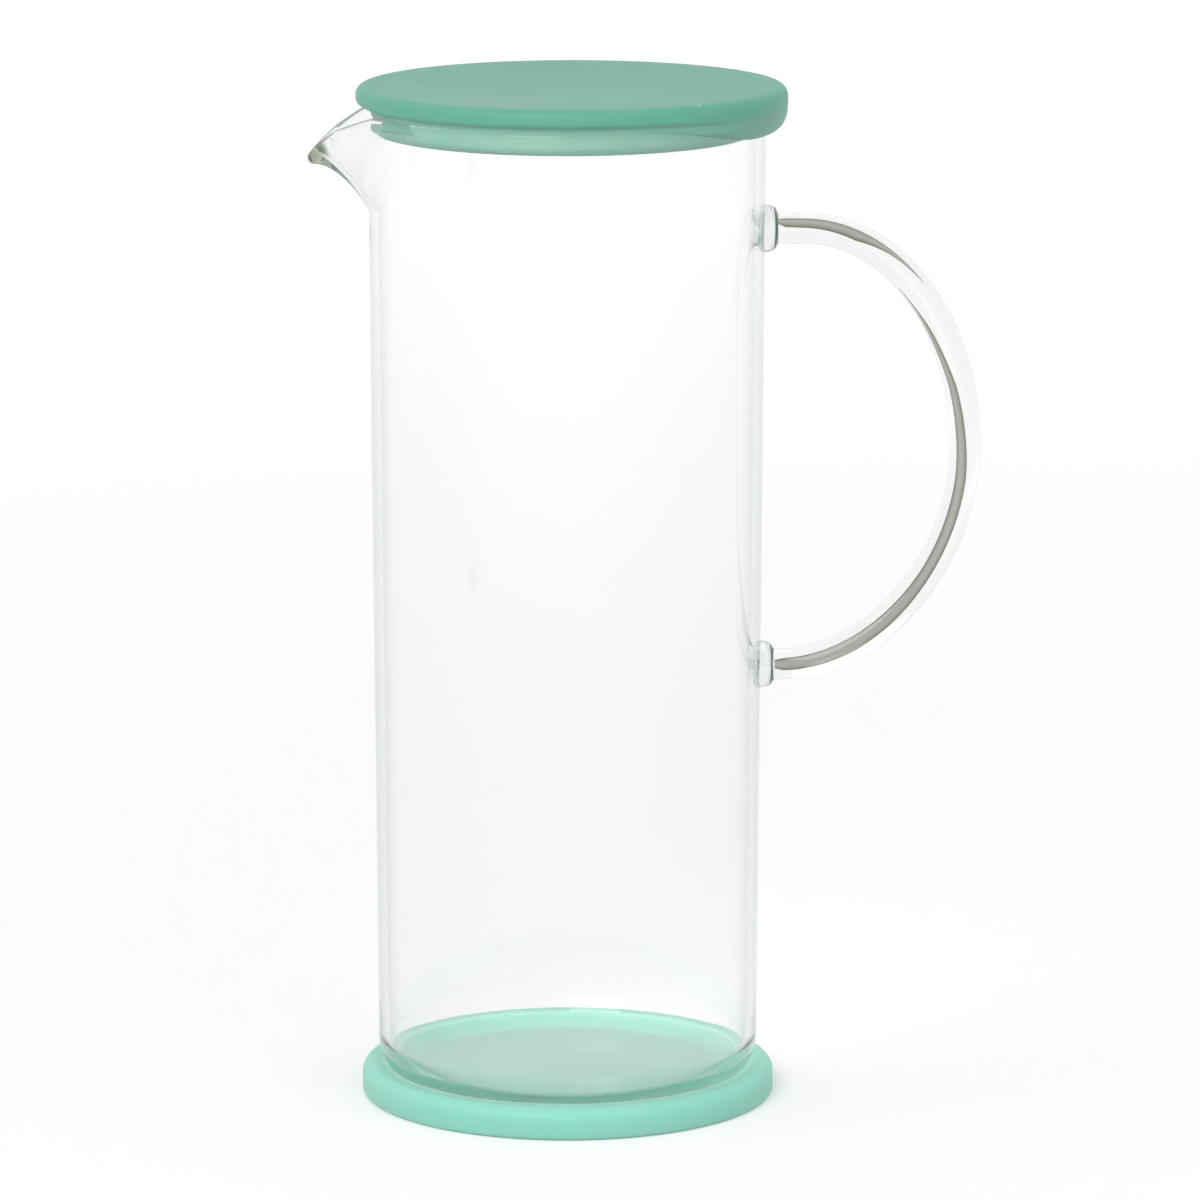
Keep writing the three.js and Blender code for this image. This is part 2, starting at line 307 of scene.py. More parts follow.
def silicone_skin_group():
    """Cloudy pigment, mould grain and a few specks of lint."""
    group, given, result = new_group(
        "silicone_skin",
        [("Pigment", COLOUR, (0.3, 0.6, 0.5, 1)), ("Cloud", COLOUR, (0.4, 0.7, 0.6, 1)),
         ("Cloud Amount", NUMBER, 0.3), ("Lint", NUMBER, 0.5), ("Roughness", NUMBER, 0.45)],
        [("Colour", COLOUR), ("Roughness", NUMBER), ("Height", NUMBER)],
    )
    given = given.outputs
    place = add_node(group, "ShaderNodeTexCoord").outputs["Object"]
    cloud = add_node(group, "ShaderNodeTexNoise", Scale=CLOUD_SCALE, Detail=4.0, Roughness=0.55)
    grain = add_node(group, "ShaderNodeTexNoise", Scale=GRAIN_SCALE, Detail=2.0, Roughness=0.6)
    lint = add_node(group, "ShaderNodeTexVoronoi", Scale=LINT_SCALE, Randomness=1.0)
    chosen = add_node(group, "ShaderNodeTexWhiteNoise", noise_dimensions="3D")
    near = math_node(group, "LESS_THAN", lint.outputs["Distance"], LINT_SIZE)
    rare = math_node(group, "GREATER_THAN", chosen.outputs["Value"], LINT_RARITY)
    speck = math_node(group, "MULTIPLY", math_node(group, "MULTIPLY", near, rare), given["Lint"])
    clouded = math_node(group, "MULTIPLY", cloud.outputs["Fac"], given["Cloud Amount"])
    tint = mix_colours(group, clouded, given["Pigment"], given["Cloud"])
    around = math_node(group, "SUBTRACT", cloud.outputs["Fac"], 0.5)
    uneven = math_node(group, "MULTIPLY", around, UNEVENNESS)
    join(
        group,
        (place, cloud.inputs["Vector"]),
        (place, grain.inputs["Vector"]),
        (place, lint.inputs["Vector"]),
        (lint.outputs["Position"], chosen.inputs["Vector"]),
        (mix_colours(group, speck, tint, LINT_COLOUR), result.inputs["Colour"]),
        (math_node(group, "ADD", given["Roughness"], uneven), result.inputs["Roughness"]),
        (grain.outputs["Fac"], result.inputs["Height"]),
    )
    return group


silicone_skin = silicone_skin_group()
print("group:", silicone_skin.name)

# %% Group: patches of touch
def touch_group():
    """A mask of the broad faint patches that hands leave."""
    group, given, result = new_group(
        "touch",
        [("Scale", NUMBER, 18.0), ("From", NUMBER, 0.5), ("To", NUMBER, 0.75), ("Amount", NUMBER, 0.05)],
        [("Mask", NUMBER)],
    )
    given = given.outputs
    place = add_node(group, "ShaderNodeTexCoord").outputs["Object"]
    patch = add_node(group, "ShaderNodeTexNoise", Detail=5.0, Roughness=0.62)
    worn = ramp(group, patch.outputs["Fac"], given["From"], given["To"])
    join(
        group,
        (place, patch.inputs["Vector"]),
        (given["Scale"], patch.inputs["Scale"]),
        (math_node(group, "MULTIPLY", worn, given["Amount"]), result.inputs["Mask"]),
    )
    return group


touch = touch_group()
print("group:", touch.name)

# %% Group: a zone of a turned piece
def zone_group():
    """A mask that fades in between two radii and between two heights."""
    group, given, result = new_group(
        "zone",
        [(label, NUMBER, 0.0) for label in ("Radius From", "Radius To", "Height From", "Height To")],
        [("Mask", NUMBER)],
    )
    given = given.outputs
    place = add_node(group, "ShaderNodeSeparateXYZ")
    flat = add_node(group, "ShaderNodeCombineXYZ")
    radius = add_node(group, "ShaderNodeVectorMath", operation="LENGTH")
    within = ramp(group, radius.outputs["Value"], given["Radius From"], given["Radius To"])
    level = ramp(group, place.outputs["Z"], given["Height From"], given["Height To"])
    join(
        group,
        (add_node(group, "ShaderNodeTexCoord").outputs["Object"], place.inputs[0]),
        (place.outputs["X"], flat.inputs["X"]),
        (place.outputs["Y"], flat.inputs["Y"]),
        (flat.outputs[0], radius.inputs[0]),
        (math_node(group, "MULTIPLY", within, level), result.inputs["Mask"]),
    )
    return group


zone = zone_group()
print("group:", zone.name)

# %% [markdown]
# ## Silicone
#
# Soft silicone lets a little light in under its skin, so a thin edge glows and shadows are gentle. The
# shader's subsurface weight gives that. The lid's pigment is a little greyer than the base's. Two zones
# get a paler pigment as painted light: under the lid's flange it stands in for the light and the glass's
# reflection on the plug, and in the base's bowl for the light that reaches the bowl through the glass.

# %% Silicone recipe
SILICONE_IOR = 1.41
SILICONE_TOUCH = 0.10
SCATTER = (0.6, 1.0, 0.9)
GRAIN_STRENGTH = 0.10
GRAIN_HEIGHT = 0.05 * MM


def silicone(name, pigment, cloud, pale, painted_light_zone, roughness, glow, glow_depth):
    """Satin moulded silicone of one pigment, with a paler pigment painted in one zone as light."""
    material = bpy.data.materials.new(name)
    material.use_nodes = True
    tree = material.node_tree
    shader = tree.nodes["Principled BSDF"].inputs
    skin = add_node(tree, "ShaderNodeGroup", node_tree=silicone_skin)
    skin.inputs["Cloud"].default_value = cloud
    skin.inputs["Roughness"].default_value = roughness
    # Painted light: the zone where a paler pigment stands in for light that falls there.
    painted_light_mask = add_node(tree, "ShaderNodeGroup", node_tree=zone)
    for socket, value in zip(painted_light_mask.inputs, painted_light_zone):
        socket.default_value = value
    hands = add_node(tree, "ShaderNodeGroup", node_tree=touch)
    hands.inputs["Amount"].default_value = SILICONE_TOUCH
    bump = add_node(tree, "ShaderNodeBump", Strength=GRAIN_STRENGTH, Distance=GRAIN_HEIGHT)
    polished = math_node(tree, "SUBTRACT", skin.outputs["Roughness"], hands.outputs["Mask"])
    join(
        tree,
        (mix_colours(tree, painted_light_mask.outputs["Mask"], pigment, pale), skin.inputs["Pigment"]),
        (skin.outputs["Colour"], shader["Base Color"]),
        (polished, shader["Roughness"]),
        (skin.outputs["Height"], bump.inputs["Height"]),
        (bump.outputs["Normal"], shader["Normal"]),
    )
    shader["IOR"].default_value = SILICONE_IOR
    shader["Subsurface Weight"].default_value = glow
    shader["Subsurface Radius"].default_value = SCATTER
    shader["Subsurface Scale"].default_value = glow_depth
    return material


# %% Silicone of the lid
LID_PIGMENT = (0.128, 0.420, 0.318, 1)
LID_CLOUD = (0.170, 0.470, 0.362, 1)
# Painted light: a paler pigment under the flange stands in for the light and the glass's reflection on the
# plug.
LID_PAINTED_PALE = (0.205, 0.420, 0.325, 1)
LID_ROUGHNESS = 0.48
LID_GLOW = 0.70
LID_GLOW_DEPTH = 3.0 * MM
LID_FLANGE = 5.0 * MM
PLUG_ZONE_RADII = (9.0 * MM, 3.0 * MM)
PLUG_ZONE_HEIGHTS = (1.2 * MM, -0.2 * MM)
lid_underside = lid_high.z - LID_FLANGE


def zone_limits(radius, radii, height, heights):
    """Where a zone begins and where it is full, as distances from a radius and from a height."""
    return [radius + r for r in radii] + [height + h for h in heights]


plug_painted_light_zone = zone_limits(mouth_radius, PLUG_ZONE_RADII, lid_underside, PLUG_ZONE_HEIGHTS)
lid_silicone = silicone("lid_silicone", LID_PIGMENT, LID_CLOUD, LID_PAINTED_PALE, plug_painted_light_zone,
                        LID_ROUGHNESS, LID_GLOW, LID_GLOW_DEPTH)
print("material:", lid_silicone.name)

# %% Silicone of the base
BASE_PIGMENT = (0.310, 0.715, 0.590, 1)
BASE_CLOUD = (0.370, 0.760, 0.640, 1)
# Painted light: a paler pigment in the bowl stands in for the light that reaches it through the glass.
BASE_PAINTED_PALE = (0.520, 0.860, 0.760, 1)
BASE_ROUGHNESS = 0.45
BASE_GLOW = 1.0
BASE_GLOW_DEPTH = 6.0 * MM
BOWL_ZONE_RADII = (0.0, -2.0 * MM)
BOWL_ZONE_HEIGHTS = (-1.5 * MM, -0.5 * MM)

bowl_painted_light_zone = zone_limits(foot_radius, BOWL_ZONE_RADII, glass_bottom, BOWL_ZONE_HEIGHTS)
base_silicone = silicone("base_silicone", BASE_PIGMENT, BASE_CLOUD, BASE_PAINTED_PALE, bowl_painted_light_zone,
                         BASE_ROUGHNESS, BASE_GLOW, BASE_GLOW_DEPTH)
print("material:", base_silicone.name)

# %% [markdown]
# ## Glass
#
# Borosilicate bends light less than window glass. The wall is clear, but a long way through it takes on a
# faint grey green: an absorbing volume gives that where the glass is deep. Where the outer skin is seen at a
# flat angle, a grey-green tint is painted into its colour: partly the glass's own green, partly painted
# shade for the thin dark edges. The thick bead at the spout's lip is painted darker and greener: partly the
# deeper glass's green, partly painted shade. Light that is reflected again and again inside the glass would
# end up black, so it comes out a pale grey.

# %% Glass tints
DEPTH_COLOUR = (0.64, 0.71, 0.68, 1)
DEPTH_DENSITY = 36.0
# Partly the glass's own green, partly painted shade for the thin dark edges at flat angles.
EDGE_TINT_AND_SHADE = (0.54, 0.60, 0.55, 1)
EDGE_FROM = 0.55
# Partly the thick glass's green, partly painted shade in the lip's bead.
LIP_TINT_AND_SHADE = (0.32, 0.36, 0.26, 1)
LIP_INSET = 2.2 * MM
LIP_BELOW_RIM = 10.6 * MM
LIP_TINT_NEAR = 2.0 * MM
LIP_TINT_FAR = 5.6 * MM


def edge_tinted_and_shaded(tree):
    """White that turns grey green where the outer skin is seen at a flat angle: partly the glass's tint,
    partly painted shade for its dark edges.
    """
    facing = add_node(tree, "ShaderNodeLayerWeight", Blend=0.5).outputs["Facing"]
    inside = add_node(tree, "ShaderNodeNewGeometry").outputs["Backfacing"]
    edge = math_node(tree, "SUBTRACT", ramp(tree, facing, EDGE_FROM, 1.0), inside)
    return mix_colours(tree, edge, WHITE, EDGE_TINT_AND_SHADE)


def lip_tinted_and_shaded(tree, colour):
    """The colour, darker and greener in the thick bead at the spout's lip: partly the glass's green, partly
    painted shade.
    """
    place = add_node(tree, "ShaderNodeTexCoord")
    from_lip = add_node(tree, "ShaderNodeVectorMath", operation="DISTANCE")
    from_lip.inputs[1].default_value = (glass_low.x + LIP_INSET, 0, rim_top - LIP_BELOW_RIM)
    join(tree, (place.outputs["Object"], from_lip.inputs[0]))
    thick = ramp(tree, from_lip.outputs["Value"], LIP_TINT_FAR, LIP_TINT_NEAR)
    return mix_colours(tree, thick, colour, LIP_TINT_AND_SHADE)


# %% Glass material
GLASS_IOR = 1.473
GLASS_TOUCH = 0.012
REFLECTIONS = 3
LOST_LIGHT = (0.22, 0.24, 0.22, 1)
BLACK = (0, 0, 0, 1)


def clear_glass():
    """Clear blown glass with faint touch marks."""
    material = bpy.data.materials.new("clear_glass")
    material.use_nodes = True
    material.cycles.emission_sampling = "NONE"
    tree = material.node_tree
    shader = tree.nodes["Principled BSDF"].inputs
    shader["IOR"].default_value = GLASS_IOR
    shader["Transmission Weight"].default_value = 1.0
    shader["Emission Strength"].default_value = 1.0
    hands = add_node(tree, "ShaderNodeGroup", node_tree=touch)
    hands.inputs["Amount"].default_value = GLASS_TOUCH
    depth = add_node(tree, "ShaderNodeVolumeAbsorption", Color=DEPTH_COLOUR, Density=DEPTH_DENSITY)
    reflected = add_node(tree, "ShaderNodeLightPath").outputs["Glossy Depth"]
    lost = math_node(tree, "GREATER_THAN", reflected, REFLECTIONS + 0.5)
    join(
        tree,
        (mix_colours(tree, lost, BLACK, LOST_LIGHT), shader["Emission Color"]),
        (lip_tinted_and_shaded(tree, edge_tinted_and_shaded(tree)), shader["Base Color"]),
        (hands.outputs["Mask"], shader["Roughness"]),
        (depth.outputs["Volume"], tree.nodes["Material Output"].inputs["Volume"]),
    )
    return material


glass = clear_glass()
print("material:", glass.name)

# %% [markdown]
# ## Turning a profile
#
# Three of the four pieces come off a wheel or out of a round mould. A profile of radius and height points
# is turned about the axis, with its first and last points on the axis so that the skin is closed. Columns
# can be gathered to one side, where a spout or a lip needs them, and a reshaping function can then move
# every point by its radius, its angle from that side and its height. Points that coincide are merged, so
# that no face is left without an area.

# %% Turning tools
def arc(centre_r, centre_z, half_r, half_z, start, end, steps):
    """Points of an elliptical arc, angles in degrees from the outward direction."""
    angles = np.radians(np.linspace(start, end, steps + 1))
    return [(centre_r + half_r * math.cos(a), centre_z + half_z * math.sin(a)) for a in angles]


def straight(start, end, steps):
    """Points along a line, without its last one."""
    return [tuple(np.array(start) + (np.array(end) - np.array(start)) * i / steps) for i in range(steps)]


SAME_POINT = 0.002 * MM


def merge_points(mesh):
    """Merges points that lie on one another, so that no face is left without an area."""
    shell = bmesh.new()
    shell.from_mesh(mesh)
    bmesh.ops.remove_doubles(shell, verts=shell.verts, dist=SAME_POINT)
    shell.to_mesh(mesh)
    shell.free()


def turn(name, profile, columns, side=1, gather=0.0, reshape=None):
    """A closed mesh from a profile turned about Z. The profile may depend on the angle from the side."""
    even = np.linspace(-math.pi, math.pi, columns, endpoint=False)
    angles = even - gather * np.sin(even)
    sections = np.array([profile(a) if callable(profile) else profile for a in angles])
    radius, height = sections[:, 1:-1, 0].T, sections[:, 1:-1, 1].T
    angle = np.repeat(angles[None, :], len(radius), axis=0)
    if reshape:
        radius, angle, height = reshape(radius, angle, height)
    points = np.stack([side * radius * np.cos(angle), side * radius * np.sin(angle), height], axis=-1)
    ends = [(0, 0, sections[0, 0, 1]), (0, 0, sections[0, -1, 1])]
    vertices = [ends[0]] + points.reshape(-1, 3).tolist() + [ends[1]]
    last = len(vertices) - 1
    rows = len(radius)
    ring = [[1 + row * columns + c % columns for c in range(columns + 1)] for row in range(rows)]
    faces = [(0, ring[0][c + 1], ring[0][c]) for c in range(columns)]
    for low, high in zip(ring, ring[1:]):
        faces += [(low[c], low[c + 1], high[c + 1], high[c]) for c in range(columns)]
    faces += [(last, ring[-1][c], ring[-1][c + 1]) for c in range(columns)]
    mesh = bpy.data.meshes.new(name)
    mesh.from_pydata(vertices, [], faces)
    merge_points(mesh)
    mesh.validate()
    mesh.shade_smooth()
    piece = bpy.data.objects.new(name, mesh)
    bpy.context.scene.collection.objects.link(piece)
    return piece


# %% [markdown]
# ## Glass body
#
# The cylinder is one even wall with a rounded foot and a fire-polished rim. Its spout is the hot wall drawn
# out and down: a wide V that is strongest at the lip and dies away at the sides and the root, with a narrow
# nose that curls over at the end. Every point keeps its place across the wall's thickness while the wall's
# middle surface is pulled, so the glass stays evenly thick and ends in a fuller bead at the lip.

# %% Spout
SPOUT_DEPTH = 26.0 * MM
SPOUT_DROP = 11.2 * MM
SPOUT_SPAN = math.radians(42)
SPOUT_ROOT_SPAN = math.radians(12)
SPOUT_DROP_SPAN = 0.50
SPOUT_DROP_POWER = 1.2
SPOUT_SOFT = math.radians(2.5)
SPOUT_CURL = 1.1
SPOUT_DROP_CURL = 1.9
NOSE_WIDTH = math.radians(3.4)
NOSE_OUT = 0.25
NOSE_DROP = 0.45
NOSE_CURL = 3
LIP_BEAD = 1.8 * MM
LIP_BEAD_CURL = 8
rim_radius = wall_radius(rim_centre) - GLASS_WALL / 2
spout_reach = -glass_low.x - rim_radius - LIP_BEAD
spout_root = rim_top - SPOUT_DEPTH


def mix(first, second, share):
    """A value between two others."""
    return first + (second - first) * share


def spout_pull(angle, rise):
    """How far the wall is drawn out and down at an angle from the spout, and its share in the nose."""
    span = mix(SPOUT_ROOT_SPAN, SPOUT_SPAN, rise)
    aside = (np.sqrt(angle ** 2 + SPOUT_SOFT ** 2) - SPOUT_SOFT) / span
    nose = np.exp(-(angle / NOSE_WIDTH) ** 2)
    curled = rise ** NOSE_CURL
    wide = np.maximum(0, 1 - aside) ** 2
    fall = np.maximum(0, 1 - aside / SPOUT_DROP_SPAN) ** SPOUT_DROP_POWER
    out = spout_reach * mix(wide, nose, NOSE_OUT * curled)
    drop = SPOUT_DROP * mix(fall, nose, NOSE_DROP * curled)
    return out, drop, nose


def pull_spout(radius, angle, height):
    """Draws the wall out and down into a pouring lip."""
    level = np.minimum(height, rim_centre)
    tall = rim_centre - spout_root
    rise = np.maximum(0, (level - spout_root) / tall)
    out, drop, nose = spout_pull(angle, rise)
    out_slope = out * SPOUT_CURL * rise ** (SPOUT_CURL - 1)
    drop_slope = drop * SPOUT_DROP_CURL * rise ** (SPOUT_DROP_CURL - 1)
    tilt = np.arctan2(out_slope, tall - drop_slope)
    middle = wall_radius(level) - GLASS_WALL / 2
    bead = 1 + (2 * LIP_BEAD / GLASS_WALL - 1) * nose * rise ** LIP_BEAD_CURL
    across = (radius - middle) * bead
    along = (height - level) * bead
    radius = middle + out * rise ** SPOUT_CURL + across * np.cos(tilt) + along * np.sin(tilt)
    height = level - drop * rise ** SPOUT_DROP_CURL - across * np.sin(tilt) + along * np.cos(tilt)
    return radius, angle, height


print(f"spout: drawn out {1000 * spout_reach:.1f} mm, down {1000 * SPOUT_DROP:.1f} mm")

# %% Glass body
JUG_COLUMNS = 260
JUG_GATHER = 0.65


def outside(z):
    """A point of the wall's outside."""
    return wall_radius(z), z


def inside(z):
    """A point of the wall's inside."""
    return wall_radius(z) - GLASS_WALL, z


def glass_profile():
    """Foot, wall and rim, from the axis under the foot to the axis above the floor."""
    corner_radius = foot_radius - FOOT_CORNER
    inside_corner = FOOT_CORNER - GLASS_WALL
    floor_top = glass_bottom + GLASS_FLOOR
    inside_top = floor_top + inside_corner
    rim_round = GLASS_WALL / 2
    return (
        straight((0, glass_bottom), (corner_radius, glass_bottom), 5)
        + arc(corner_radius, foot_top, FOOT_CORNER, FOOT_CORNER, -90, 0, 14)[:-1]
        + straight(outside(foot_top), outside(spout_root), 44)
        + straight(outside(spout_root), outside(rim_centre), 30)
        + arc(rim_radius, rim_centre, rim_round, rim_round, 0, 180, 14)[:-1]
        + straight(inside(rim_centre), inside(spout_root), 30)
        + straight(inside(spout_root), inside(inside_top), 22)
        + arc(corner_radius, inside_top, inside_corner, inside_corner, 0, -90, 12)
        + straight((corner_radius, floor_top), (0, floor_top), 5)[1:]
        + [(0, floor_top)]
    )


jug = turn("glass_jug", glass_profile(), JUG_COLUMNS, side=-1, gather=JUG_GATHER, reshape=pull_spout)
print("glass body:", len(jug.data.polygons), "faces")

# %% [markdown]
# ## Glass handle
#
# The handle is one solid rod, bent hot. Where it meets the wall the glass wells up into a round collar.
# A circle is swept along the bent centre line with a radius that grows at both ends, and the two glasses
# are then fused into one skin, as the flame does it.

# %% Handle line
ROD_RADIUS = 4.0 * MM
COLLAR_RADIUS = 6.0 * MM
COLLAR_LENGTH = 3.2 * MM
COLLAR_SINK = 1.1 * MM
STRAIGHT_TOP = 10.0 * MM
STRAIGHT_BOTTOM = 4.5 * MM
FULLNESS_TOP = 0.552
FULLNESS_BOTTOM = 0.525
APEX_DROP = 55.4 * MM


def bezier(a, b, c, d, steps):
    """Points of a cubic curve, without its last one."""
    t = np.linspace(0, 1, steps, endpoint=False)[:, None]
    a, b, c, d = (np.array(p) for p in (a, b, c, d))
    return list((1 - t) ** 3 * a + 3 * (1 - t) ** 2 * t * b + 3 * (1 - t) * t ** 2 * c + t ** 3 * d)


def handle_line():
    """Centre line of the rod as (x, z) points, from inside the wall at the top to inside it below."""
    top = handle_high.z - COLLAR_RADIUS
    bottom = handle_low.z + COLLAR_RADIUS
    apex_x = handle_high.x - ROD_RADIUS
    apex_z = top - APEX_DROP
    top_x = wall_radius(top) + STRAIGHT_TOP
    bottom_x = wall_radius(bottom) + STRAIGHT_BOTTOM
    top_end = (wall_radius(top) - COLLAR_SINK, top)
    bottom_end = (wall_radius(bottom) - COLLAR_SINK, bottom)
    points = straight(top_end, (top_x, top), 18)
    points += bezier((top_x, top), (mix(top_x, apex_x, FULLNESS_TOP), top),
                     (apex_x, mix(apex_z, top, FULLNESS_TOP)), (apex_x, apex_z), 56)
    points += bezier((apex_x, apex_z), (apex_x, mix(apex_z, bottom, FULLNESS_BOTTOM)),
                     (mix(bottom_x, apex_x, FULLNESS_BOTTOM), bottom), (bottom_x, bottom), 60)
    points += straight((bottom_x, bottom), bottom_end, 12) + [bottom_end]
    return np.array(points)


line = handle_line()
walked = np.concatenate([[0], np.cumsum(np.linalg.norm(np.diff(line, axis=0), axis=1))])
print(f"handle: {1000 * walked[-1]:.0f} mm of rod")

# %% Glass handle
ROD_SIDES = 40


def sweep_rod(name, line, radii, sides):
    """A closed rod along a line in the XZ plane, with its own radius at every point."""
    along = np.gradient(line, axis=0)
    along /= np.linalg.norm(along, axis=1)[:, None]
    turns = np.linspace(0, 2 * math.pi, sides, endpoint=False)
    vertices = []
    for (x, z), (dx, dz), radius in zip(line, along, radii):
        for out, side in zip(radius * np.cos(turns), radius * np.sin(turns)):
            vertices.append((x - dz * out, side, z + dx * out))
    faces = [tuple(range(sides)), tuple(reversed(range(len(vertices) - sides, len(vertices))))]
    for row in range(len(line) - 1):
        for c in range(sides):
            d = (c + 1) % sides
            faces.append((row * sides + c, (row + 1) * sides + c, (row + 1) * sides + d, row * sides + d))
    mesh = bpy.data.meshes.new(name)
    mesh.from_pydata(vertices, [], faces)
    mesh.shade_smooth()
    piece = bpy.data.objects.new(name, mesh)
    bpy.context.scene.collection.objects.link(piece)
    return piece


from_wall = np.minimum(walked, walked[-1] - walked) - COLLAR_SINK
flare = np.sqrt(np.clip(1 - (np.maximum(0, from_wall) / COLLAR_LENGTH) ** 2, 0, 1))
rod = sweep_rod("handle_rod", line, mix(ROD_RADIUS, COLLAR_RADIUS, flare), ROD_SIDES)
print("rod:", len(rod.data.polygons), "faces")

# %% Fuse the handle to the body
SHARP_FROM = math.radians(35)


def fuse(target, tool):
    """Joins the tool's solid into the target's, and removes the tool."""
    weld = target.modifiers.new("weld", "BOOLEAN")
    weld.operation = "UNION"
    weld.solver = "EXACT"
    weld.object = tool
    evaluated = target.evaluated_get(bpy.context.evaluated_depsgraph_get())
    fused = bpy.data.meshes.new_from_object(evaluated)
    target.modifiers.clear()
    merge_points(fused)
    target.data = fused
    bpy.data.objects.remove(tool)


fuse(jug, rod)
jug.data.shade_smooth()
jug.data.set_sharp_from_angle(angle=SHARP_FROM)
jug.data.materials.clear()
jug.data.materials.append(glass)
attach(jug, "jug")
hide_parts("glass_body", "glass_handle")
jug.visible_shadow = False
print("jug with handle:", len(jug.data.polygons), "faces")

# %% [markdown]
# ## Painted shade behind the rod
#
# A clear rod on white has no edges until it has something dark to bend into them. Here that is painted
# shade: dark glowing strips, cut to shape, close behind the rod, which stand in for the shade of the floor
# behind that the rod would bend into view. Each card follows the handle's line as the camera sees it. Its
# two edges are given at stations along the rod, as distances from that line. Only light that has come
# through the rod's two skins shows a card: it casts no shadow, dims no light and isn't seen through the jug.
# The cards ride with the jug, so that a lifted jug keeps its look.

# %% Card material
# Painted shade: the strip's glow, darkest at its two edges.
CARD_SHADE_EDGE = (0.12, 0.13, 0.075, 1)
CARD_SHADE_MIDDLE = (0.42, 0.435, 0.39, 1)
ROD_SKINS = 2

painted_shade_card_material = bpy.data.materials.new("painted_shade_card")
painted_shade_card_material.use_nodes = True
tree = painted_shade_card_material.node_tree
tree.nodes.clear()
across = add_node(tree, "ShaderNodeAttribute", attribute_name="across").outputs["Fac"]
within = math_node(tree, "MULTIPLY", across, math_node(tree, "SUBTRACT", 1.0, across))
middle = math_node(tree, "MULTIPLY", within, 4.0)  # 1 in the middle of the strip, 0 at both edges
sheet = add_node(tree, "ShaderNodeEmission")
nothing = add_node(tree, "ShaderNodeBsdfTransparent")
shown = add_node(tree, "ShaderNodeMixShader")
surface = add_node(tree, "ShaderNodeOutputMaterial")
skins = add_node(tree, "ShaderNodeLightPath").outputs["Transmission Depth"]
join(
    tree,
    (mix_colours(tree, middle, CARD_SHADE_EDGE, CARD_SHADE_MIDDLE), sheet.inputs["Color"]),
    (math_node(tree, "LESS_THAN", skins, ROD_SKINS + 0.5), shown.inputs["Fac"]),
    (nothing.outputs[0], shown.inputs[1]),
    (sheet.outputs[0], shown.inputs[2]),
    (shown.outputs[0], surface.inputs["Surface"]),
)
print("material:", painted_shade_card_material.name)

# %% Dark cards
CARD_BACK = 15.0 * MM
# Share of the handle's length, and the card's two edges in mm, outward from the handle's line.
TOP_CARD = [(0.015, -3.6, -3.0), (0.035, -5.4, -0.4), (0.14, -4.6, 0.6), (0.19, -4.6, -1.8),
            (0.255, -4.5, -4.1)]
SIDE_CARD = [(0.235, 10.5, 12.0), (0.31, 5.0, 12.0), (0.41, 1.2, 6.0), (0.55, -1.3, 3.3),
             (0.70, -2.0, 2.6), (0.85, -3.0, 3.0), (0.96, -2.6, 2.6), (0.985, -0.8, 0.8)]


def stand_card(name, path, stations):
    """A dark strip of painted shade behind a path in the XZ plane, between the two edges that the stations
    give.
    """
    share, inner, outer = np.array(stations).T
    along = np.gradient(path, axis=0)
    along /= np.linalg.norm(along, axis=1)[:, None]
    outward = np.stack([-along[:, 1], along[:, 0]], axis=1)
    eye = np.array((camera.location.x, camera.location.z))
    behind = path + (path - eye) * CARD_BACK / CAMERA_DISTANCE
    steps = np.linalg.norm(np.diff(path, axis=0), axis=1)
    done = np.concatenate([[0], np.cumsum(steps)]) / steps.sum()
    rows = np.nonzero((done >= share[0]) & (done <= share[-1]))[0]
    vertices = []
    for row in rows:
        for edge in (inner, outer):
            x, z = behind[row] + outward[row] * np.interp(done[row], share, edge) * MM
            vertices.append((x, CARD_BACK, z))
    faces = [(2 * i, 2 * i + 1, 2 * i + 3, 2 * i + 2) for i in range(len(rows) - 1)]
    mesh = bpy.data.meshes.new(name)
    mesh.from_pydata(vertices, [], faces)
    across = mesh.attributes.new("across", "FLOAT", "POINT")
    across.data.foreach_set("value", [0.0, 1.0] * len(rows))
    mesh.materials.append(painted_shade_card_material)
    card = bpy.data.objects.new(name, mesh)
    bpy.context.scene.collection.objects.link(card)
    card.visible_camera = False
    card.visible_diffuse = False
    card.visible_glossy = False
    card.visible_shadow = False
    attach(card, "jug")


stand_card("shade_card_top", line, TOP_CARD)
stand_card("shade_card_side", line, SIDE_CARD)
print("cards stand", CARD_BACK, "m behind the glass")

# %% [markdown]
# ## Lid
#
# The lid is one moulding: a flange that covers the rim, and under it a hollow plug that fits the mouth. The
# soft plug follows the wall and the round of the rim at a hair's breadth, so its colour shows through the
# glass. It is pressed on at the spout's root and stands free in the spout's opening. Between flange and rim
# is a short neck, and towards the handle this neck swells and hangs down into a crescent-shaped lip for the
# thumb. So the section depends on the angle.

# %% Lid sizes
LID_TOP_ROUND = 2.2 * MM
LID_BOTTOM_ROUND = 1.9 * MM
LID_LEDGE = 0.9
LID_DISH = 0.7 * MM
LID_WEB = 2.6 * MM
PLUG_WALL = 5.2 * MM
PLUG_ROUND = 2.9 * MM
PLUG_INNER_ROUND = 1.2 * MM
PLUG_SWELL = 0.35 * MM
PLUG_GAP = 0.12 * MM
PLUG_PRESS = 0.5 * MM
PLUG_FOLLOW = 2.0 * MM
RIM_SEAT_END = 60
NECK_CLEARANCE = 0.2 * MM
NECK_DRAW = 0.7 * MM
NECK_WALL = 0.1 * MM
lid_radius = (lid_high.x - lid_low.x) / 2
lid_offset = (lid_high.x + lid_low.x) / 2
lid_top = lid_high.z
print(f"lid: {2000 * lid_radius:.1f} mm across, set {1000 * lid_offset:.2f} mm towards the handle")

# %% Plug
def neck_radius(free):
    """Inside of the neck, drawn in where the plug stands free."""
    return mouth_radius + NECK_CLEARANCE - NECK_DRAW * free


